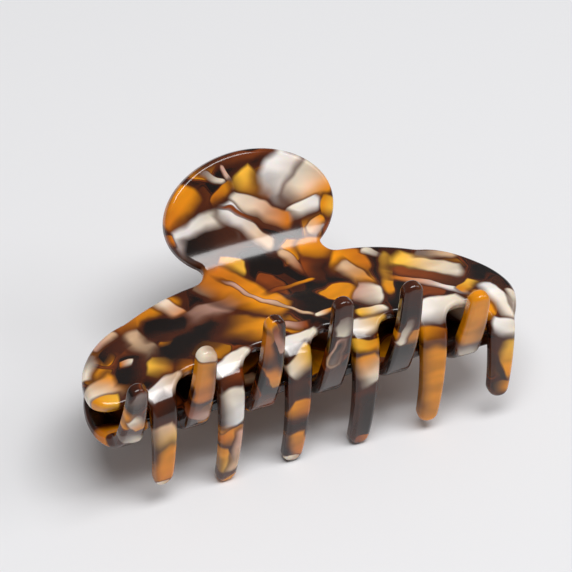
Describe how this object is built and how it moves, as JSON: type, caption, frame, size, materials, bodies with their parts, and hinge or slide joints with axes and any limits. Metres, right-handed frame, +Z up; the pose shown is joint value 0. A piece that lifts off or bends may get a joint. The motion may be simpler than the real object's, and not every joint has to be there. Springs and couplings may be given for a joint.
{
  "type": "claw clip",
  "caption": "Sprung hair claw with two interlocking bent-sheet jaws, long round-tipped teeth and oval thumb tabs, lying closed on its side.",
  "frame": {"origin": "centre of the bounding box in plan, at the plane the clip rests on", "axes": "+X along the hinge pin, teeth towards -Y, thumb tabs towards +Y, +Z up out of the upper jaw"},
  "size_m": [0.1146, 0.0636, 0.0545],
  "materials": {
    "acetate": "polished tortoiseshell",
    "hinge_steel": "nickel plated",
    "rivet_steel": "satin",
    "pin_steel": "satin",
    "spring_steel": "bright drawn wire"
  },
  "bodies": {
    "lower_half": {"lower_jaw": "acetate", "lower_hinge_leaf": "hinge_steel", "lower_leaf_rivets": "rivet_steel", "hinge_pin": "pin_steel", "torsion_spring": "spring_steel"},
    "upper_half": {"upper_jaw": "acetate", "upper_hinge_leaf": "hinge_steel", "upper_leaf_rivets": "rivet_steel"}
  },
  "joints": [
    {"name": "jaw_hinge", "type": "hinge", "parent": "lower_half", "child": "upper_half", "pos_m": [0, 0.0007, 0.02692], "axis": [-1, 0, 0], "range_deg": [0, 50], "stiffness_Nm_per_rad": 0.25, "springref_deg": -51.57, "deforming": ["torsion_spring"]}
  ]
}
